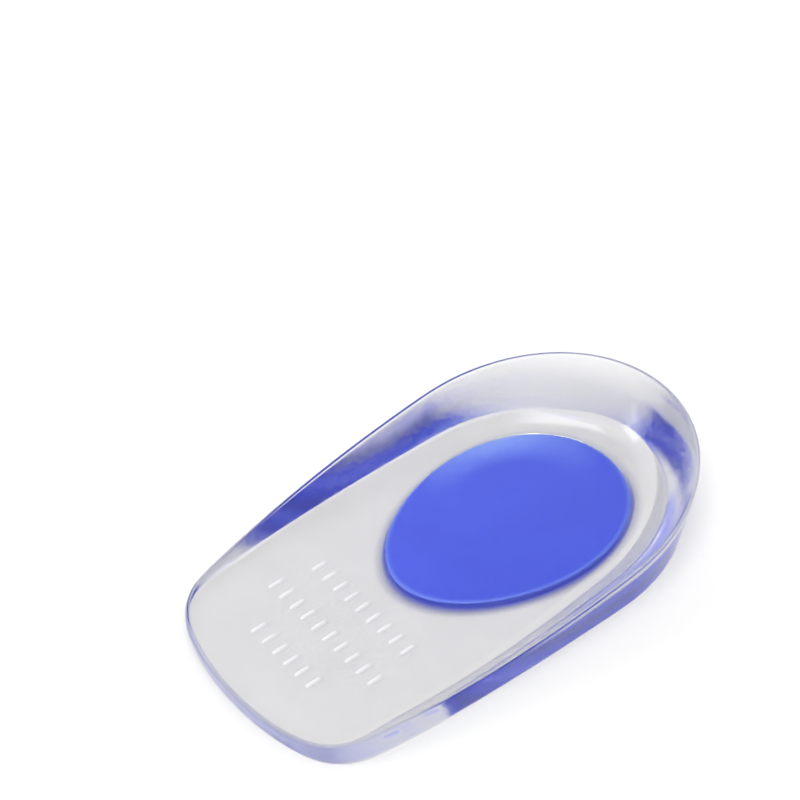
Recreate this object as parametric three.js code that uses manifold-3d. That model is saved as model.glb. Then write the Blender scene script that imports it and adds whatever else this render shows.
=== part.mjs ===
// Gel heel cup: a clear cup with an oval plug of soft blue gel under the heel.
// Millimetres. +Y points to the toes and +Z up. The origin is on the underside, at the middle of the box.
import * as THREE from 'three';
import { mergeVertices } from 'three/addons/utils/BufferGeometryUtils.js';
import Module from 'manifold-3d';

const wasm = await Module();
wasm.setup();

// Plan of the cup
const cupLength = 110;
const rimWidth = 63.6;          // outside of the rim where the cup is widest
const baseWidth = 59.6;         // outside of the underside at the same place
const rimToeWidth = 48.4;       // where the sides of the top edge would meet the toe's arc
const baseToeWidth = 50.4;      // the same at the underside
const heelArcLength = 37;       // from the back of the heel to the widest place
const rimLead = 33;             // how far the rim's sides run on from there before they close in
const baseLead = 42;            // the same at the underside
const toeBulge = 5.5;           // how far the toe's arc stands out past its corners
const toeCrownWidth = 20;       // width of the flattest part of the toe's arc
const toeCornerRound = 7.5;     // how much of each side and of the arc a toe corner takes up
const heelOverhang = 1.2;       // how far the rim reaches back past the underside
const toeOverhang = 0.4;        // how far the toe's top edge reaches forward past it

// Heights and thicknesses
const heelHeight = 17.4;        // top of the rim at the back of the heel
const toeThickness = 4.1;       // the toe's edge
const rimSweep = 1.2;           // power that brings the rim down from the heel to the toe
const floorHeelThickness = 4.1;
const floorToeThickness = 3.95;
const rimThickness = 0.7;
const rimRound = 0.35;          // height of the rounding on top of the rim
const baseRound = 0.8;          // rounding between the underside and the outer wall
const sideReach = 1.055;        // how far the inner wall runs in for each millimetre that it falls
const heelReach = 0.52;         // the same at the back of the heel
const footReach = 1.7;          // how far it still runs in where the wall runs out
const wallHollow = 1.5;         // power that makes the inner wall concave, level with the floor at its foot
const floorMargin = 1.6;        // flat strip of floor inside the wall's foot

// Heel plug and its pocket
const padLength = 55.6;
const padWidth = 39.4;
const padEgg = 0.115;           // how much wider the oval is towards the heel
const padFromHeel = 41.5;       // back of the cup to the middle of the oval
const padCrown = 0.7;           // height of the plug's middle above its edge
const padEdgeRound = 0.35;
const gelUnderPad = 1.1;        // clear gel left below the pocket
const seatGap = 0.3;            // clearance all round the plug

// Grip bars on the floor, ahead of the plug
const barLength = 3.4;
const barWidth = 0.9;
const barHeight = 0.4;
const barPitch = 3.4;           // from one bar of a row to the next
const firstRowAhead = 9;        // from the front of the plug to the first row
const rowPitch = 9.2;
const barRows = [9, 10, 6];     // bars in each row, from the plug towards the toe

// Fineness of the meshes
const outlinePoints = 120;
const padPoints = 84;

const toeY = cupLength / 2;
const heelY = -cupLength / 2;

// Right half of the cup's outline from above, heel first, mirrored into a loop of evenly spaced points.
function planOutline(width, toeWidth, taperLead, backY, frontY) {
  const widest = new THREE.Vector2(width / 2, heelY + heelArcLength);
  const corner = new THREE.Vector2(toeWidth / 2, frontY - toeBulge);
  const lead = new THREE.Vector2(width / 2, widest.y + taperLead);
  const crown = new THREE.Vector2(toeCrownWidth / 2, frontY);
  const sideEnd = corner.clone().add(lead.clone().sub(corner).setLength(toeCornerRound));
  const arcStart = corner.clone().add(crown.clone().sub(corner).setLength(toeCornerRound));
  const half = new THREE.Path();
  half.moveTo(0, backY);
  half.ellipse(0, widest.y - backY, width / 2, widest.y - backY, -Math.PI / 2, 0, false, 0);
  half.quadraticCurveTo(lead.x, lead.y, sideEnd.x, sideEnd.y);
  half.quadraticCurveTo(corner.x, corner.y, arcStart.x, arcStart.y);
  half.quadraticCurveTo(crown.x, crown.y, 0, frontY);
  half.arcLengthDivisions = outlinePoints * 4;
  const right = half.getSpacedPoints(outlinePoints / 2);
  const left = right.slice(1, -1).reverse().map((point) => new THREE.Vector2(-point.x, point.y));
  right[0].x = 0;
  right[right.length - 1].x = 0;
  return [...right, ...left];
}

// Outward direction at each point of a loop that runs anticlockwise.
function outwardNormals(loop) {
  return loop.map((point, i) => {
    const before = loop[(i + loop.length - 1) % loop.length];
    const after = loop[(i + 1) % loop.length];
    const along = after.clone().sub(before).normalize();
    return new THREE.Vector2(along.y, -along.x);
  });
}

function rimTop(y) {
  const fromToe = THREE.MathUtils.clamp((toeY - y) / cupLength, 0, 1);
  return toeThickness + (heelHeight - toeThickness) * fromToe ** rimSweep;
}

function floorTop(y) {
  return THREE.MathUtils.mapLinear(y, heelY, toeY, floorHeelThickness, floorToeThickness);
}

// Closed mesh through a stack of loops with as many points each. Both ends are closed to their middles.
function loft(loops, firstMiddle, lastMiddle) {
  const count = loops[0].length;
  const positions = [...loops.flat(), firstMiddle, lastMiddle].flatMap((point) => point.toArray());
  const triangles = [];
  const firstIndex = loops.length * count;
  const lastIndex = firstIndex + 1;
  for (let i = 0; i < count; i += 1) {
    const next = (i + 1) % count;
    triangles.push(firstIndex, next, i);
    for (let row = 0; row < loops.length - 1; row += 1) {
      const low = row * count;
      const high = low + count;
      triangles.push(low + i, low + next, high + next);
      triangles.push(low + i, high + next, high + i);
    }
    const top = (loops.length - 1) * count;
    triangles.push(top + i, top + next, lastIndex);
  }
  const geometry = new THREE.BufferGeometry();
  geometry.setAttribute('position', new THREE.Float32BufferAttribute(positions, 3));
  geometry.setIndex(triangles);
  return geometry;
}

function toSolid(geometry) {
  const bare = geometry.clone();
  bare.deleteAttribute('normal');
  bare.deleteAttribute('uv');
  const merged = mergeVertices(bare, 1e-4);
  const index = merged.index.array;
  const kept = [];
  for (let i = 0; i < index.length; i += 3) {
    const [a, b, c] = [index[i], index[i + 1], index[i + 2]];
    if (a !== b && b !== c && c !== a) kept.push(a, b, c);
  }
  return new wasm.Manifold(new wasm.Mesh({
    numProp: 3,
    vertProperties: new Float32Array(merged.attributes.position.array),
    triVerts: new Uint32Array(kept),
  }));
}

function toGeometry(solid) {
  const mesh = solid.getMesh();
  const geometry = new THREE.BufferGeometry();
  geometry.setAttribute('position', new THREE.BufferAttribute(mesh.vertProperties, 3));
  geometry.setIndex(new THREE.BufferAttribute(mesh.triVerts, 1));
  geometry.computeVertexNormals();
  return geometry;
}

// Cup shell
// Rounding from the underside up to the outer wall. inward and up are shares of the rounding.
const baseRounding = [
  { inward: 1, up: 0 },
  { inward: 0.3, up: 0.3 },
  { inward: 0, up: 1 },
];
// Outer wall, underside to rim. rise is a share of the rim's height and out a share of the flare.
const outerWall = [
  { rise: 0.3, out: 0.3 },
  { rise: 0.65, out: 0.66 },
];
// Top of the rim, outside to inside. inward is a share of the rim's thickness and drop of its rounding.
const outerCrest = [
  { inward: 0, drop: 1 },
  { inward: 0.14, drop: 0.3 },
  { inward: 0.5, drop: 0 },
];
const innerCrest = [
  { inward: 0.86, drop: 0.3 },
  { inward: 1, drop: 1 },
];
// Inner wall from the rim down to the floor. inward is a share of the way in to the wall's foot.
const innerWall = [
  { inward: 0.14 },
  { inward: 0.3 },
  { inward: 0.47 },
  { inward: 0.65 },
  { inward: 0.82 },
  { inward: 1 },
];

function cupShell() {
  const rim = planOutline(rimWidth, rimToeWidth, rimLead, heelY, toeY);
  const base = planOutline(baseWidth, baseToeWidth, baseLead, heelY + heelOverhang, toeY - toeOverhang);
  const rimOut = outwardNormals(rim);
  const baseOut = outwardNormals(base);
  const ring = (place) => rim.map((point, i) => place(i));

  const baseAt = (i, inset, z) => {
    const point = base[i].clone().addScaledVector(baseOut[i], -inset);
    return new THREE.Vector3(point.x, point.y, z);
  };
  const rimAt = (i, inset, drop) => {
    const point = rim[i].clone().addScaledVector(rimOut[i], -inset);
    return new THREE.Vector3(point.x, point.y, rimTop(rim[i].y) - drop);
  };
  // The rim's inner rounding gets smaller where the wall runs out at the toe.
  const innerRound = (i) => Math.min(rimRound, (rimTop(rim[i].y) - floorTop(rim[i].y)) / 2);
  const innerAt = (i, inward) => {
    const height = rimTop(rim[i].y) - innerRound(i) - floorTop(rim[i].y);
    const reach = footReach + height * THREE.MathUtils.lerp(heelReach, sideReach, rimOut[i].x ** 2);
    const point = rim[i].clone().addScaledVector(rimOut[i], -rimThickness - reach * inward);
    const above = height * (1 - inward) ** wallHollow;
    return new THREE.Vector3(point.x, point.y, floorTop(point.y) + above);
  };
  const floorAt = (i) => {
    const foot = innerAt(i, 1);
    const point = new THREE.Vector2(foot.x, foot.y).addScaledVector(rimOut[i], -floorMargin);
    return new THREE.Vector3(point.x, point.y, floorTop(point.y));
  };

  const loops = [];
  for (const { inward, up } of baseRounding) {
    loops.push(ring((i) => baseAt(i, baseRound * inward, baseRound * up)));
  }
  for (const { rise, out } of outerWall) {
    loops.push(ring((i) => {
      const high = rimAt(i, 0, rimRound);
      const wall = baseAt(i, 0, baseRound).lerp(high, out);
      return wall.setZ(THREE.MathUtils.lerp(baseRound, high.z, rise));
    }));
  }
  for (const { inward, drop } of outerCrest) {
    loops.push(ring((i) => rimAt(i, rimThickness * inward, rimRound * drop)));
  }
  for (const { inward, drop } of innerCrest) {
    loops.push(ring((i) => rimAt(i, rimThickness * inward, innerRound(i) * drop)));
  }
  for (const { inward } of innerWall) {
    loops.push(ring((i) => innerAt(i, inward)));
  }
  loops.push(ring(floorAt));
  return loft(loops, new THREE.Vector3(0, 0, 0), new THREE.Vector3(0, 0, floorTop(0)));
}

// Oval plug
const padY = heelY + padFromHeel;

function padOval(inset, height) {
  const points = [];
  for (let i = 0; i < padPoints; i += 1) {
    const turn = (i / padPoints) * Math.PI * 2;
    const across = (padWidth / 2 - inset) * Math.cos(turn) * (1 - padEgg * Math.sin(turn));
    const along = padY + (padLength / 2 - inset) * Math.sin(turn);
    points.push(new THREE.Vector3(across, along, height(along)));
  }
  return points;
}

// The plug's crown. reach is a share of the oval's half width, rise a share of the crown's height.
const crownRings = [
  { reach: 0.93, rise: 0.3 },
  { reach: 0.8, rise: 0.58 },
  { reach: 0.6, rise: 0.8 },
  { reach: 0.3, rise: 0.96 },
];

function heelPad() {
  const underside = gelUnderPad + seatGap;
  const scaled = (reach, rise) => padOval(0, (y) => floorTop(y) + padCrown * rise).map(
    (point) => new THREE.Vector3(point.x * reach, padY + (point.y - padY) * reach, point.z),
  );
  const loops = [
    padOval(0, () => underside),
    padOval(0, (y) => floorTop(y) - padEdgeRound),
    padOval(padEdgeRound, (y) => floorTop(y)),
    ...crownRings.map(({ reach, rise }) => scaled(reach, rise)),
  ];
  const middle = floorTop(padY) + padCrown;
  return loft(loops, new THREE.Vector3(0, padY, underside), new THREE.Vector3(0, padY, middle));
}

function padPocket() {
  const loops = [
    padOval(-seatGap, () => gelUnderPad),
    padOval(-seatGap, (y) => floorTop(y) + heelHeight),
  ];
  const above = floorTop(padY) + heelHeight;
  return loft(loops, new THREE.Vector3(0, padY, gelUnderPad), new THREE.Vector3(0, padY, above));
}

// Rounded bars that lie on the floor, half sunk in it
function gripBars() {
  const firstRow = padY + padLength / 2 + firstRowAhead;
  return barRows.flatMap((bars, row) => {
    const y = firstRow + row * rowPitch;
    return Array.from({ length: bars }, (none, i) => {
      const bar = new THREE.CapsuleGeometry(barWidth / 2, barLength - barWidth, 2, 8, 1);
      bar.scale(1, 1, barHeight / (barWidth / 2));
      bar.translate((i - (bars - 1) / 2) * barPitch, y, floorTop(y));
      return bar;
    });
  });
}

function gelCup() {
  let cup = toSolid(cupShell()).subtract(toSolid(padPocket()));
  for (const bar of gripBars()) {
    cup = cup.add(toSolid(bar));
  }
  return toGeometry(cup);
}

const clearGel = new THREE.MeshStandardMaterial({
  color: 0xe4e5ec,
  roughness: 0.12,
  metalness: 0,
  transparent: true,
  opacity: 0.55,
});
const blueGel = new THREE.MeshStandardMaterial({ color: 0x4b5cd8, roughness: 0.32, metalness: 0 });

const heelCup = new THREE.Group();

const cupMesh = new THREE.Mesh(gelCup(), clearGel);
cupMesh.name = 'gel_cup';
heelCup.add(cupMesh);

const padMesh = new THREE.Mesh(heelPad(), blueGel);
padMesh.name = 'heel_pad';
heelCup.add(padMesh);

export default heelCup;
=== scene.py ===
# Gel heel cup: a clear cup with an oval plug of blue gel under the heel, standing on a pale floor.
# Metres. +Y points to the toes and +Z up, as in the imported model.
import math

import bmesh
import bpy
from mathutils import Matrix, Vector


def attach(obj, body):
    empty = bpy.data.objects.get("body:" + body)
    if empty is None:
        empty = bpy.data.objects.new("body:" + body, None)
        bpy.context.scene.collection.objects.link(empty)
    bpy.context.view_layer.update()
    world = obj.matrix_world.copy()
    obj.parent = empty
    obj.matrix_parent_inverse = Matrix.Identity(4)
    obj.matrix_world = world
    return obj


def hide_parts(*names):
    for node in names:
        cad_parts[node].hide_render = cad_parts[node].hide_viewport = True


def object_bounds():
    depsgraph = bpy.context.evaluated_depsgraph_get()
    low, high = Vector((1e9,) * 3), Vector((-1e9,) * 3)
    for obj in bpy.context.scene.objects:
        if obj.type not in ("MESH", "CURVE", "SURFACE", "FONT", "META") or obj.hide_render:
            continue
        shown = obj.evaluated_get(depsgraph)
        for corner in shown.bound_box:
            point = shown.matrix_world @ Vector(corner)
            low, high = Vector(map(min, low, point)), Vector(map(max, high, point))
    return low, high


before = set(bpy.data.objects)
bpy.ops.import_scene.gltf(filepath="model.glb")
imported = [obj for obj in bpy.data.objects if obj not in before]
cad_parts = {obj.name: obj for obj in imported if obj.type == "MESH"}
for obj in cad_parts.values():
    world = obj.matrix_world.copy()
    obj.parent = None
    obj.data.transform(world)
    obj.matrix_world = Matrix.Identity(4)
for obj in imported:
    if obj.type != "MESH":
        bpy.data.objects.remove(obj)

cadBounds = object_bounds()
mm = 0.001
heelY = cadBounds[0].y
toeY = cadBounds[1].y
cupLength = toeY - heelY
print("frame loaded, cup length", round(cupLength / mm, 1), "mm")

# The photo's view: where the camera looks on the floor, and from where
viewPoint = {
    "aim": (43.4 * mm, -21.5 * mm, 0.0),
    "distance": 420 * mm,
    "elevation": 43.55,
    "azimuth": 230.75,      # 0 looks along +Y
    "lens": 87.3,
}


def makeCamera(view):
    turn = math.radians(view["azimuth"])
    rise = math.radians(view["elevation"])
    back = Vector((math.sin(turn) * math.cos(rise), -math.cos(turn) * math.cos(rise), math.sin(rise)))
    camera = bpy.data.objects.new("camera", bpy.data.cameras.new("camera"))
    camera.data.lens = view["lens"]
    camera.data.sensor_width = 36
    camera.data.clip_start = 0.01
    camera.location = Vector(view["aim"]) + back * view["distance"]
    camera.rotation_mode = "QUATERNION"
    camera.rotation_quaternion = (-back).to_track_quat("-Z", "Y")
    bpy.context.scene.collection.objects.link(camera)
    bpy.context.scene.camera = camera


makeCamera(viewPoint)
print("camera made")

# Sizes of the clear cup
cup = {
    "rimWidth": 63.6 * mm,
    "baseWidth": 59.6 * mm,
    "rimToeWidth": 48.4 * mm,       # where the sides of the top edge would meet the toe's arc
    "baseToeWidth": 50.4 * mm,
    "heelArcLength": 37 * mm,       # back of the heel to the widest place
    "rimLead": 33 * mm,             # how far the sides run on before they close in
    "baseLead": 42 * mm,
    "toeBulge": 5.5 * mm,
    "toeCrownWidth": 20 * mm,
    "toeCornerRound": 7.5 * mm,
    "heelOverhang": 1.2 * mm,
    "toeOverhang": 0.4 * mm,
    "heelHeight": 17.4 * mm,
    "toeThickness": 4.1 * mm,
    "rimSweep": 1.2,
    "floorHeelThickness": 4.1 * mm,
    "floorToeThickness": 3.95 * mm,
    "rimThickness": 0.7 * mm,
    "rimRound": 0.35 * mm,
    "baseRound": 0.8 * mm,
    "sideReach": 1.055,             # how far the wall runs in for each millimetre that it falls
    "heelReach": 0.52,
    "footReach": 1.7 * mm,
    "wallHollow": 1.5,
    "satinFrom": 0.65,              # share of the way in where the glossy wall turns into satin floor
    "satinFullHeight": 1.6 * mm,    # where the wall is lower the satin comes nearer to the rim
    "pointsAround": 288,
    "smoothings": 6,                # rounds that even out the outline's curvature
    "edgeRows": 6,
    "outsideRows": 14,
    "crestRows": 12,
    "insideRows": 24,
    "footRows": 14,
    "floorRows": 16,
    "crease": 50,                   # degrees: sharper edges stay sharp in the shading
}
# Sizes of the blue plug
plug = {
    "length": 55.6 * mm,
    "width": 39.4 * mm,
    "egg": 0.115,                   # wider towards the heel
    "fromHeel": 41.5 * mm,
    "crown": 0.7 * mm,
    "edgeRound": 0.45 * mm,
    "gelUnder": 1.1 * mm,
    "flare": 0.9 * mm,              # how far the buried part swells out past the oval that shows
    "bite": 0.06 * mm,              # the clear gel laps this far into the plug, so that no air shows
    "pointsAround": 288,
    "edgeRows": 6,
    "sideRows": 8,
    "crownRows": 30,
    "crease": 60,
}
# Rows of raised bars on the floor, from the plug towards the toe
bars = {
    "rows": (9, 10, 6),
    "length": 3.4 * mm,
    "width": 0.9 * mm,
    "height": 0.4 * mm,
    "pitch": 3.4 * mm,
    "firstRowAhead": 9 * mm,
    "rowPitch": 9.2 * mm,
}


def mix(low, high, share):
    return low + (high - low) * share


def quadratic(start, control, end, share):
    return start.lerp(control, share).lerp(control.lerp(end, share), share)


# Points along the same line, count + 1 of them, evenly spaced
def evenlySpaced(points, count):
    lengths = [0.0]
    for before, after in zip(points, points[1:]):
        lengths.append(lengths[-1] + (after - before).length)
    spaced = []
    place = 0
    for i in range(count + 1):
        wanted = lengths[-1] * i / count
        while place < len(points) - 2 and lengths[place + 1] < wanted:
            place += 1
        step = lengths[place + 1] - lengths[place]
        spaced.append(points[place].lerp(points[place + 1], min(1.0, (wanted - lengths[place]) / step)))
    return spaced


# The cup's outline from above as count points, anticlockwise from the back of the heel
def planOutline(width, toeWidth, lead, backY, frontY, count):
    widest = Vector((width / 2, heelY + cup["heelArcLength"]))
    corner = Vector((toeWidth / 2, frontY - cup["toeBulge"]))
    control = Vector((width / 2, widest.y + lead))
    crown = Vector((cup["toeCrownWidth"] / 2, frontY))
    sideEnd = corner + (control - corner).normalized() * cup["toeCornerRound"]
    arcStart = corner + (crown - corner).normalized() * cup["toeCornerRound"]
    steps = [i / 60 for i in range(61)]
    line = []
    for step in steps:
        turn = step * math.pi / 2
        line.append(Vector((width / 2 * math.sin(turn), widest.y - (widest.y - backY) * math.cos(turn))))
    for start, middle, end in (
        (widest, control, sideEnd), (sideEnd, corner, arcStart), (arcStart, crown, Vector((0, frontY))),
    ):
        line += [quadratic(start, middle, end, step) for step in steps[1:]]
    right = evenlySpaced(line, count // 2)
    return right + [Vector((-point.x, point.y)) for point in reversed(right[1:-1])]


def outwardNormals(loop):
    normals = []
    for i in range(len(loop)):
        along = (loop[(i + 1) % len(loop)] - loop[i - 1]).normalized()
        normals.append(Vector((along.y, -along.x)))
    return normals


# The same closed loop with its changes of curvature evened out
def softened(loop, rounds):
    for _ in range(rounds):
        count = len(loop)
        loop = [(loop[i - 1] + loop[i] * 2 + loop[(i + 1) % count]) / 4 for i in range(count)]
    return loop


def rimTop(y):
    fromToe = min(1.0, max(0.0, (toeY - y) / cupLength))
    return mix(cup["toeThickness"], cup["heelHeight"], fromToe ** cup["rimSweep"])


def floorTop(y):
    return mix(cup["floorHeelThickness"], cup["floorToeThickness"], (y - heelY) / cupLength)


def plugOutline(inset, count):
    middleY = heelY + plug["fromHeel"]
    loop = []
    for i in range(count):
        turn = math.pi * 2 * i / count - math.pi / 2
        across = (plug["width"] / 2 - inset) * math.cos(turn) * (1 - plug["egg"] * math.sin(turn))
        loop.append(Vector((across, middleY + (plug["length"] / 2 - inset) * math.sin(turn))))
    return loop


# A capped circle whose corners are moved to these places
def startRing(mesh, places):
    ring = bmesh.ops.create_circle(mesh, segments=len(places), radius=1, cap_ends=True)["verts"]
    for corner, place in zip(ring, places):
        corner.co = place
    return ring


# Extrudes the ring's edges to the next section
def growRing(mesh, ring, places, material):
    edges = [mesh.edges.get((ring[i - 1], ring[i])) for i in range(len(ring))]
    made = bmesh.ops.extrude_edge_only(mesh, edges=edges)["geom"]
    above = {}
    for corner in made:
        if isinstance(corner, bmesh.types.BMFace):
            corner.material_index = material
        if isinstance(corner, bmesh.types.BMVert):
            for edge in corner.link_edges:
                above[edge.other_vert(corner)] = corner
    fresh = [above[corner] for corner in ring]
    for corner, place in zip(fresh, places):
        corner.co = place
    return fresh


def finishPiece(mesh, name, materials, crease):
    bmesh.ops.recalc_face_normals(mesh, faces=mesh.faces)
    data = bpy.data.meshes.new(name)
    mesh.to_mesh(data)
    mesh.free()
    for material in materials:
        data.materials.append(material)
    data.shade_smooth()
    data.set_sharp_from_angle(angle=math.radians(crease))
    piece = bpy.data.objects.new(name, data)
    bpy.context.scene.collection.objects.link(piece)
    return piece


def at(point, z):
    return Vector((point.x, point.y, z))


# Rows of places up the outside, over the rim, down the inside and across the floor to the pocket
def cupSections():
    count = cup["pointsAround"]
    rim = softened(planOutline(
        cup["rimWidth"], cup["rimToeWidth"], cup["rimLead"], heelY, toeY, count), cup["smoothings"])
    base = softened(planOutline(
        cup["baseWidth"], cup["baseToeWidth"], cup["baseLead"],
        heelY + cup["heelOverhang"], toeY - cup["toeOverhang"], count), cup["smoothings"])
    rimOut = outwardNormals(rim)
    baseOut = outwardNormals(base)
    everyPoint = range(count)
    tops = [rimTop(point.y) for point in rim]
    rounds = [min(cup["rimRound"], (top - floorTop(point.y)) / 2) for top, point in zip(tops, rim)]
    heights = [top - small - floorTop(point.y) for top, small, point in zip(tops, rounds, rim)]
    sections = []

    for row in range(cup["edgeRows"] + 1):
        turn = math.pi / 2 * row / cup["edgeRows"]
        inset = cup["baseRound"] * (1 - math.sin(turn))
        rise = cup["baseRound"] * (1 - math.cos(turn))
        sections.append(("clear", [at(base[i] - baseOut[i] * inset, rise) for i in everyPoint]))

    for row in range(1, cup["outsideRows"] + 1):
        share = row / cup["outsideRows"]
        sections.append(("clear", [
            at(base[i].lerp(rim[i], share), mix(cup["baseRound"], tops[i] - cup["rimRound"], share))
            for i in everyPoint]))

    for row in range(1, cup["crestRows"] + 1):
        turn = math.pi * row / cup["crestRows"]
        inset = cup["rimThickness"] * (1 - math.cos(turn)) / 2
        drop = 1 - math.sin(turn)
        places = []
        for i in everyPoint:
            small = cup["rimRound"] if turn < math.pi / 2 else rounds[i]
            places.append(at(rim[i] - rimOut[i] * inset, tops[i] - small * drop))
        sections.append(("clear", places))

    def inside(i, share):
        reach = cup["footReach"] + heights[i] * mix(cup["heelReach"], cup["sideReach"], rimOut[i].x ** 2)
        point = rim[i] - rimOut[i] * (cup["rimThickness"] + reach * share)
        return at(point, floorTop(point.y) + heights[i] * (1 - share) ** cup["wallHollow"])

    satinFrom = [cup["satinFrom"] * min(1, 0.1 + height / cup["satinFullHeight"]) for height in heights]
    for row in range(1, cup["insideRows"] + 1):
        share = row / cup["insideRows"]
        sections.append(("clear", [inside(i, satinFrom[i] * share) for i in everyPoint]))
    for row in range(1, cup["footRows"] + 1):
        share = row / cup["footRows"]
        sections.append(("satin", [inside(i, mix(satinFrom[i], 1, share)) for i in everyPoint]))

    pocket = plugOutline(plug["bite"], count)
    lip = plugOutline(-plug["bite"] * 2, count)
    for row in range(1, cup["floorRows"] + 1):
        places = []
        for i in everyPoint:
            point = inside(i, 1).xy.lerp(lip[i], row / cup["floorRows"])
            places.append(at(point, floorTop(point.y)))
        sections.append(("satin", places))
    pocketFloor = plug["gelUnder"] + plug["bite"] * 6
    sections.append(("clear", [at(point, floorTop(point.y) - plug["bite"] * 3) for point in pocket]))
    sections.append(("clear", [at(point, pocketFloor) for point in pocket]))
    return sections


# The raised bars as one mesh of capsules that lie on the floor, half sunk in it
def makeBars(materials):
    mesh = bmesh.new()
    front = heelY + plug["fromHeel"] + plug["length"] / 2
    radius = bars["width"] / 2
    for row, number in enumerate(bars["rows"]):
        y = front + bars["firstRowAhead"] + row * bars["rowPitch"]
        for i in range(number):
            ball = bmesh.ops.create_uvsphere(mesh, u_segments=20, v_segments=12, radius=radius)["verts"]
            bmesh.ops.rotate(mesh, verts=ball, matrix=Matrix.Rotation(math.pi / 2, 3, "X"))
            bmesh.ops.scale(mesh, verts=ball, vec=(1, 1, bars["height"] / radius))
            half = (bars["length"] - bars["width"]) / 2
            ends = [[corner for corner in ball if corner.co.y * side > radius / 100] for side in (1, -1)]
            bmesh.ops.translate(mesh, verts=ends[0], vec=(0, half, 0))
            bmesh.ops.translate(mesh, verts=ends[1], vec=(0, -half, 0))
            x = (i - (number - 1) / 2) * bars["pitch"]
            bmesh.ops.translate(mesh, verts=ball, vec=(x, y, floorTop(y)))
    for face in mesh.faces:
        face.material_index = 2
    return finishPiece(mesh, "bars", materials, 180)


def applyModifiers(piece):
    bpy.context.view_layer.update()
    shaped = piece.evaluated_get(bpy.context.evaluated_depsgraph_get())
    data = bpy.data.meshes.new_from_object(shaped)
    piece.modifiers.clear()
    piece.data = data


def makeCup(clearGel, satinGel, barGel):
    mesh = bmesh.new()
    finishes = {"clear": 0, "satin": 1}
    sections = cupSections()
    ring = startRing(mesh, sections[0][1])
    for finish, places in sections[1:]:
        ring = growRing(mesh, ring, places, finishes[finish])
    bmesh.ops.contextual_create(mesh, geom=ring)
    piece = finishPiece(mesh, "clear_gel_cup", [clearGel, satinGel, barGel], cup["crease"])
    raised = makeBars([clearGel, satinGel, barGel])
    joined = piece.modifiers.new("bars", "BOOLEAN")
    joined.operation = "UNION"
    joined.solver = "EXACT"
    joined.object = raised
    applyModifiers(piece)
    bpy.data.objects.remove(raised)
    piece.data.shade_smooth()
    piece.data.set_sharp_from_angle(angle=math.radians(cup["crease"]))
    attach(piece, "root")
    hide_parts("gel_cup")
    return piece


def makePlug(blueGel):
    mesh = bmesh.new()
    count = plug["pointsAround"]
    small = plug["edgeRound"]
    middle = Vector((0, heelY + plug["fromHeel"]))

    def row(inset, heightAt):
        return [at(point, heightAt(point.y)) for point in plugOutline(inset, count)]

    rows = []
    edgeRows = plug["edgeRows"]
    flare = plug["flare"]
    for i in range(edgeRows + 1):
        turn = math.pi / 2 * i / edgeRows
        rise = plug["gelUnder"] + small * (1 - math.cos(turn))
        rows.append(row(small * (1 - math.sin(turn)) - flare, lambda y: rise))
    for i in range(1, plug["sideRows"]):
        share = i / plug["sideRows"]
        low = plug["gelUnder"] + small
        rows.append(row(-flare * (1 - share ** 2), lambda y: mix(low, floorTop(y) - small * 0.6, share)))
    for i in range(edgeRows + 1):
        turn = math.pi / 2 * i / edgeRows
        lift = small * (math.sin(turn) - 0.6)
        rows.append(row(small * (1 - math.cos(turn)), lambda y: floorTop(y) + lift))
    edge = rows[-1]
    for i in range(1, plug["crownRows"]):
        share = i / plug["crownRows"]
        rise = (plug["crown"] - small * 0.4) * (1 - (1 - share) ** 2)
        rows.append([
            at(point.xy.lerp(middle, share), mix(point.z, floorTop(middle.y) + small * 0.4, share) + rise)
            for point in edge])
    ring = startRing(mesh, rows[0])
    for places in rows[1:]:
        ring = growRing(mesh, ring, places, 0)
    cap = bmesh.ops.contextual_create(mesh, geom=ring)["faces"]
    bmesh.ops.poke(mesh, faces=cap)
    piece = finishPiece(mesh, "blue_gel_plug", [blueGel], plug["crease"])
    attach(piece, "root")
    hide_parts("heel_pad")
    return piece


# A small helper for node trees: makes a node, sets its values and links its inputs
def addNode(tree, kind, values=None, links=None, **settings):
    node = tree.nodes.new(kind)
    for name, value in settings.items():
        setattr(node, name, value)
    for name, value in (values or {}).items():
        node.inputs[name].default_value = value
    for name, socket in (links or {}).items():
        tree.links.new(socket, node.inputs[name])
    return node


def newMaterial(name):
    material = bpy.data.materials.new(name)
    material.use_nodes = True
    tree = material.node_tree
    shader = tree.nodes["Principled BSDF"]
    place = addNode(tree, "ShaderNodeTexCoord").outputs["Object"]
    return material, tree, shader, place


def setShader(shader, values):
    for name, value in values.items():
        shader.inputs[name].default_value = value


def noise(tree, place, scale, detail=2, rough=0.5):
    made = addNode(tree, "ShaderNodeTexNoise", {"Scale": scale, "Detail": detail, "Roughness": rough},
                   {"Vector": place})
    return made.outputs["Fac"]


def spread(tree, value, low, high, start=0.0, end=1.0):
    made = addNode(tree, "ShaderNodeMapRange", {
        "From Min": start, "From Max": end, "To Min": low, "To Max": high}, {"Value": value})
    return made.outputs["Result"]


def bump(tree, height, distance, strength=1.0, normal=None):
    links = {"Height": height}
    if normal:
        links["Normal"] = normal
    made = addNode(tree, "ShaderNodeBump", {"Distance": distance, "Strength": strength}, links)
    return made.outputs["Normal"]


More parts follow.
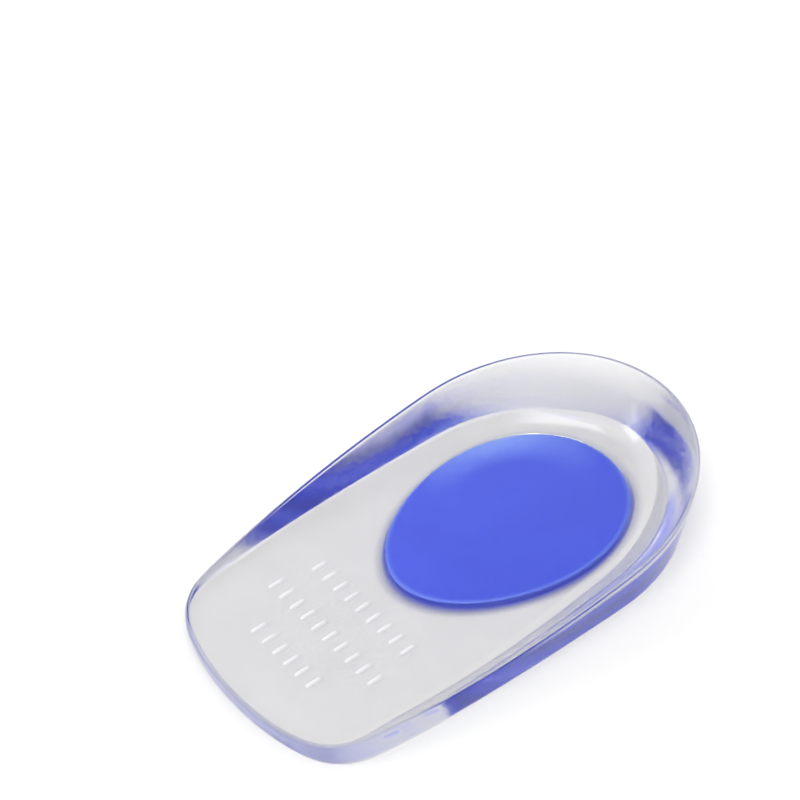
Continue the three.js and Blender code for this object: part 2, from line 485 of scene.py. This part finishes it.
# The clear gel: glossy, soft waves from the mould, a faint lavender tint where it is thick
gelLook = {
    "ior": 1.5,
    "tint": (0.86, 0.87, 0.97, 1.0),
    "tintDensity": 15.0,
    "waveScale": 130.0,
    "waveDepth": 0.06 * mm,
    "grainScale": 900.0,
    "grainDepth": 0.0012 * mm,
    "glossy": (0.03, 0.10),
    "satin": (0.24, 0.34),
    "barSatin": (0.05, 0.09),
    "ringRoughness": 0.36,
    "polished": 0.15,               # the foot of the wall is smoother than the floor
    "polishedFrom": (4.14 * mm, 5.0 * mm),
    "hollow": (0.14, 0.30),         # inner side of the wall
    "hollowFacing": (0.15, 0.5),    # how far a face that counts as the inner side looks up
    "insideRoughness": 0.06,        # satin faces seen through the gel
    "underRoughness": 0.12,         # glossy faces seen through the gel
    "satinWave": 0.03 * mm,
    "satinGrain": 0.004 * mm,
    "frosts": ((0.81, 0.797, 0.75, 1), (0.85, 0.837, 0.79, 1)),
    # the bars' frost is whiter than the floor's: partly frost, partly a painted highlight on the bars
    "barFrostsAndPaintedHighlight": ((0.99, 0.98, 0.96, 1), (1, 0.99, 0.97, 1)),
    "clearness": 0.40,              # share of the light that the satin face lets through
    "barClearness": 0.30,
    "footClearness": 0.34,
    "frostFrom": (0.98, 1.10),      # the gel beside the plug is clearer and lets its side show through
    "frostShift": (-1.1 * mm, 0.9 * mm),    # that clearer ring lies off the plug's middle
    "toeRoughness": 0.20,           # the end face is duller than the walls
    "toeFrom": (40 * mm, 52 * mm),
}


def addGelVolume(tree):
    volume = addNode(tree, "ShaderNodeVolumeAbsorption", {
        "Color": gelLook["tint"], "Density": gelLook["tintDensity"]})
    tree.links.new(volume.outputs["Volume"], tree.nodes["Material Output"].inputs["Volume"])


def makeClearGel():
    material, tree, shader, place = newMaterial("clear_gel")
    setShader(shader, {
        "Base Color": (1, 1, 1, 1), "IOR": gelLook["ior"], "Transmission Weight": 1.0})
    waves = noise(tree, place, gelLook["waveScale"], 1)
    grain = noise(tree, place, gelLook["grainScale"], 3)
    along = addNode(tree, "ShaderNodeSeparateXYZ", links={"Vector": place}).outputs["Y"]
    upward = addNode(tree, "ShaderNodeSeparateXYZ", links={
        "Vector": addNode(tree, "ShaderNodeTexCoord").outputs["Normal"]}).outputs["Z"]
    inside = addNode(tree, "ShaderNodeNewGeometry").outputs["Backfacing"]
    hollow = addNode(tree, "ShaderNodeMix", links={
        "Factor": spread(tree, upward, 0.0, 1.0, *gelLook["hollowFacing"]),
        "A": spread(tree, waves, *gelLook["glossy"]),
        "B": spread(tree, grain, *gelLook["hollow"], 0.35, 0.65)})
    dull = addNode(tree, "ShaderNodeMix", {"B": gelLook["toeRoughness"]}, {
        "Factor": spread(tree, along, 0.0, 1.0, *gelLook["toeFrom"]), "A": hollow.outputs["Result"]})
    rough = addNode(tree, "ShaderNodeMix", {"B": gelLook["underRoughness"]}, {
        "Factor": inside, "A": dull.outputs["Result"]})
    tree.links.new(rough.outputs["Result"], shader.inputs["Roughness"])
    normal = bump(tree, waves, gelLook["waveDepth"])
    normal = bump(tree, grain, gelLook["grainDepth"], normal=normal)
    tree.links.new(normal, shader.inputs["Normal"])
    addGelVolume(tree)
    return material


# How far a place is from the plug's middle, 1 on its outline; the outline can be shifted
def plugShare(tree, place, shift=(0, 0)):
    middle = heelY + plug["fromHeel"] + shift[1]
    moved = addNode(tree, "ShaderNodeMapping", {
        "Location": (-shift[0] * 2 / plug["width"], -middle * 2 / plug["length"], 0),
        "Scale": (2 / plug["width"], 2 / plug["length"], 0)}, {"Vector": place}).outputs["Vector"]
    parts = addNode(tree, "ShaderNodeSeparateXYZ", links={"Vector": moved}).outputs
    egg = addNode(tree, "ShaderNodeMath", operation="MULTIPLY_ADD")
    egg.inputs[1].default_value = -plug["egg"]
    egg.inputs[2].default_value = 1
    tree.links.new(parts["Y"], egg.inputs[0])
    across = addNode(tree, "ShaderNodeMath", operation="DIVIDE")
    tree.links.new(parts["X"], across.inputs[0])
    tree.links.new(egg.outputs[0], across.inputs[1])
    joined = addNode(tree, "ShaderNodeCombineXYZ", links={"X": across.outputs[0], "Y": parts["Y"]})
    return addNode(tree, "ShaderNodeVectorMath", links={"Vector": joined.outputs["Vector"]},
                   operation="LENGTH").outputs["Value"]


def makeSatinGel(name, clearness, footClearness, satin, frosts):
    material, tree, shader, place = newMaterial(name)
    setShader(shader, {"IOR": gelLook["ior"]})
    inside = addNode(tree, "ShaderNodeNewGeometry").outputs["Backfacing"]   # frost shows from outside alone
    beside = spread(tree, plugShare(tree, place, gelLook["frostShift"]), 1.0, 0.0, *gelLook["frostFrom"])
    height = addNode(tree, "ShaderNodeSeparateXYZ", links={"Vector": place}).outputs["Z"]
    risen = spread(tree, height, 0.0, 1.0, *gelLook["polishedFrom"])
    frost = addNode(tree, "ShaderNodeMix", {"B": 1.0}, {
        "Factor": beside, "A": spread(tree, risen, clearness, footClearness)}).outputs["Result"]
    clear = addNode(tree, "ShaderNodeMath", operation="MAXIMUM")
    tree.links.new(inside, clear.inputs[0])
    tree.links.new(frost, clear.inputs[1])
    tree.links.new(clear.outputs[0], shader.inputs["Transmission Weight"])
    clouds = noise(tree, place, gelLook["waveScale"], 3)
    grain = noise(tree, place, gelLook["grainScale"], 3)
    colour = addNode(tree, "ShaderNodeMix", links={"Factor": spread(tree, clouds, 0, 1, 0.3, 0.7)},
                     data_type="RGBA")
    colour.inputs["A"].default_value, colour.inputs["B"].default_value = frosts
    passed = addNode(tree, "ShaderNodeMix", links={"Factor": inside}, data_type="RGBA")
    tree.links.new(colour.outputs["Result"], passed.inputs["A"])
    passed.inputs["B"].default_value = (1, 1, 1, 1)
    tree.links.new(passed.outputs["Result"], shader.inputs["Base Color"])
    raised = addNode(tree, "ShaderNodeMix", {"B": min(gelLook["polished"], satin[1])}, {
        "Factor": risen, "A": spread(tree, clouds, *satin)})
    ringed = addNode(tree, "ShaderNodeMix", {"B": gelLook["ringRoughness"]}, {
        "Factor": beside, "A": raised.outputs["Result"]})
    rough = addNode(tree, "ShaderNodeMix", {"B": gelLook["insideRoughness"]}, {
        "Factor": inside, "A": ringed.outputs["Result"]})
    tree.links.new(rough.outputs["Result"], shader.inputs["Roughness"])
    normal = bump(tree, clouds, gelLook["satinWave"])
    normal = bump(tree, grain, gelLook["satinGrain"], normal=normal)
    tree.links.new(normal, shader.inputs["Normal"])
    addGelVolume(tree)
    return material


# The blue gel: satin, a little light soaks into it; it carries a painted sheen, a painted edge highlight,
# painted shade and a painted glow
plugLook = {
    "blue": (0.062, 0.105, 0.70, 1),
    "deepBlue": (0.056, 0.092, 0.66, 1),
    # painted sheen: round one place on the edge of the top the blue turns a lighter sky blue, standing in
    # for a reflection of light
    "paintedSheenBlue": (0.25, 0.38, 0.92, 1),
    "paintedSheenAt": (15.5 * mm, -26 * mm, 0.0),    # middle of the painted sheen, on the edge of the plug's top
    "paintedSheenReach": 21 * mm,
    "paintedEdgeHighlight": 0.3,            # painted highlight: a thin lighter line round the plug's top
    # painted shade: a darker, deeper blue on the faces buried in the clear gel
    "paintedShadeBlue": (0.012, 0.035, 0.66, 1),
    # colour of the painted glow that the buried faces give out
    "paintedGlowBlue": (0.02, 0.07, 0.80, 1),
    "satin": (0.30, 0.42),
    "paintedSheenFrom": (0.66, 0.97),       # shares of the way out to the plug's edge, over which the painted sheen grows in
    # where the painted edge highlight grows in, as shares of the way out
    "paintedEdgeHighlightFrom": (0.955, 0.985),
    "buriedDepth": (0.7 * mm, 0.35 * mm),
    "ior": 1.5,
    "soak": 1.0,
    "soakDepth": 4.0 * mm,
    "soakReach": (0.3, 0.4, 1.0),
    "cloudScale": 90.0,
    "cloudDepth": 0.05 * mm,
    "grainScale": 1800.0,
    "grainDepth": 0.006 * mm,
    "paintedGlowStrength": 0.17,             # painted glow: emission on the faces inside the clear gel, standing for light that has soaked through to them
}


def makeBlueGel():
    material, tree, shader, place = newMaterial("blue_gel")
    setShader(shader, {
        "IOR": plugLook["ior"], "Subsurface Weight": plugLook["soak"],
        "Subsurface Scale": plugLook["soakDepth"], "Subsurface Radius": plugLook["soakReach"]})
    clouds = noise(tree, place, plugLook["cloudScale"], 3)
    grain = noise(tree, place, plugLook["grainScale"], 3)
    colour = addNode(tree, "ShaderNodeMix", links={"Factor": spread(tree, clouds, 0, 1, 0.3, 0.7)},
                     data_type="RGBA")
    colour.inputs["A"].default_value = plugLook["deepBlue"]
    colour.inputs["B"].default_value = plugLook["blue"]
    # painted sheen: the colour turns lighter sky blue round one place near the edge of the top, standing in
    # for a reflection of light
    away = addNode(tree, "ShaderNodeVectorMath", {1: plugLook["paintedSheenAt"]}, {"Vector": place},
                   operation="DISTANCE").outputs["Value"]
    paintedSheen = addNode(tree, "ShaderNodeMath", operation="MULTIPLY")
    tree.links.new(spread(tree, away, 1.0, 0.0, 0.2 * plugLook["paintedSheenReach"], plugLook["paintedSheenReach"]),
                   paintedSheen.inputs[0])
    share = plugShare(tree, place)
    tree.links.new(spread(tree, share, 0.0, 1.0, *plugLook["paintedSheenFrom"]), paintedSheen.inputs[1])
    paintedSheenAndEdge = addNode(tree, "ShaderNodeMath", operation="MAXIMUM")
    tree.links.new(paintedSheen.outputs[0], paintedSheenAndEdge.inputs[0])
    # painted highlight: a thin lighter line round the edge of the top, joined with the painted sheen
    edge = spread(tree, share, 0.0, plugLook["paintedEdgeHighlight"], *plugLook["paintedEdgeHighlightFrom"])
    tree.links.new(edge, paintedSheenAndEdge.inputs[1])
    paintedHighlightColour = addNode(tree, "ShaderNodeMix", links={"Factor": paintedSheenAndEdge.outputs[0]}, data_type="RGBA")
    tree.links.new(colour.outputs["Result"], paintedHighlightColour.inputs["A"])
    paintedHighlightColour.inputs["B"].default_value = plugLook["paintedSheenBlue"]
    # painted shade: the faces buried in the clear gel turn a darker, deeper blue
    height = addNode(tree, "ShaderNodeSeparateXYZ", links={"Vector": place}).outputs["Z"]
    top = floorTop(heelY + plug["fromHeel"])
    buried = spread(tree, height, 1.0, 0.0, *[top - depth for depth in plugLook["buriedDepth"]])
    sunk = addNode(tree, "ShaderNodeMix", links={"Factor": buried}, data_type="RGBA")
    tree.links.new(paintedHighlightColour.outputs["Result"], sunk.inputs["A"])
    sunk.inputs["B"].default_value = plugLook["paintedShadeBlue"]
    tree.links.new(sunk.outputs["Result"], shader.inputs["Base Color"])
    tree.links.new(spread(tree, clouds, *plugLook["satin"]), shader.inputs["Roughness"])
    # painted glow: the buried faces give out a little blue light of their own
    setShader(shader, {"Emission Color": plugLook["paintedGlowBlue"]})
    tree.links.new(spread(tree, buried, 0.0, plugLook["paintedGlowStrength"]), shader.inputs["Emission Strength"])
    tree.links.new(spread(tree, buried, 0.5, 0.0), shader.inputs["Specular IOR Level"])
    normal = bump(tree, clouds, plugLook["cloudDepth"])
    normal = bump(tree, grain, plugLook["grainDepth"], normal=normal)
    tree.links.new(normal, shader.inputs["Normal"])
    return material


satinGel = makeSatinGel(
    "satin_gel", gelLook["clearness"], gelLook["footClearness"], gelLook["satin"], gelLook["frosts"])
# the bars' satin is whiter than the floor's, partly as a painted highlight
barGel = makeSatinGel(
    "bar_gel", gelLook["barClearness"], gelLook["barClearness"], gelLook["barSatin"],
    gelLook["barFrostsAndPaintedHighlight"])
gelCup = makeCup(makeClearGel(), satinGel, barGel)
print("clear cup made,", len(gelCup.data.polygons), "faces")
gelPlug = makePlug(makeBlueGel())
print("blue plug made,", len(gelPlug.data.polygons), "faces")

# The plain pale floor and the studio light
studio = {
    "floorSize": 4.0,
    "floorDrop": 0.05 * mm,         # a film of air under the gel, which mirrors the plug's side
    "floorColour": (0.96, 0.96, 0.96, 1),
    "floorRoughness": 0.9,
    "floorShine": 0.1,
    "skyBright": 0.75,
    "bounces": 48,
    "diffuseBounces": 12,
    # name, place, width and depth of the lamp, watts; each lamp looks at the middle of the cup
    "lamps": (
        ("overhead", (-0.2, 0.22, 0.76), (0.5, 0.3), 2.3),
        ("left", (0.38, 0.64, 0.26), (0.35, 0.25), 1.8),
        ("behind", (0.55, -0.45, 0.35), (0.7, 0.3), 0.5),
    ),
}


def makeFloor():
    mesh = bmesh.new()
    bmesh.ops.create_grid(mesh, x_segments=8, y_segments=8, size=studio["floorSize"] / 2)
    bmesh.ops.translate(mesh, verts=mesh.verts, vec=(0, 0, -studio["floorDrop"]))
    material, tree, shader, place = newMaterial("pale_floor")
    setShader(shader, {
        "Base Color": studio["floorColour"], "Roughness": studio["floorRoughness"],
        "Specular IOR Level": studio["floorShine"]})
    floor = finishPiece(mesh, "floor", [material], 180)


def makeWorld():
    world = bpy.data.worlds.new("studio")
    world.use_nodes = True
    tree = world.node_tree
    background = tree.nodes["Background"]
    background.inputs["Color"].default_value = (1, 1, 1, 1)
    background.inputs["Strength"].default_value = studio["skyBright"]
    bpy.context.scene.world = world


def addLamp(name, place, size, power):
    lamp = bpy.data.lights.new(name, "AREA")
    lamp.shape = "RECTANGLE"
    lamp.size, lamp.size_y = size
    lamp.energy = power
    piece = bpy.data.objects.new(name, lamp)
    piece.location = place
    piece.rotation_mode = "QUATERNION"
    piece.rotation_quaternion = (-Vector(place)).to_track_quat("-Z", "Y")
    bpy.context.scene.collection.objects.link(piece)


makeFloor()
makeWorld()
for lamp in studio["lamps"]:
    addLamp(*lamp)

scene = bpy.context.scene
scene.view_settings.view_transform = "Standard"
scene.view_settings.exposure = 0.0
scene.cycles.max_bounces = studio["bounces"]
scene.cycles.transmission_bounces = studio["bounces"]
scene.cycles.glossy_bounces = studio["bounces"]
scene.cycles.diffuse_bounces = studio["diffuseBounces"]
scene.cycles.use_denoising = True
scene.cycles.denoising_input_passes = "RGB"
print("floor, light and view set")
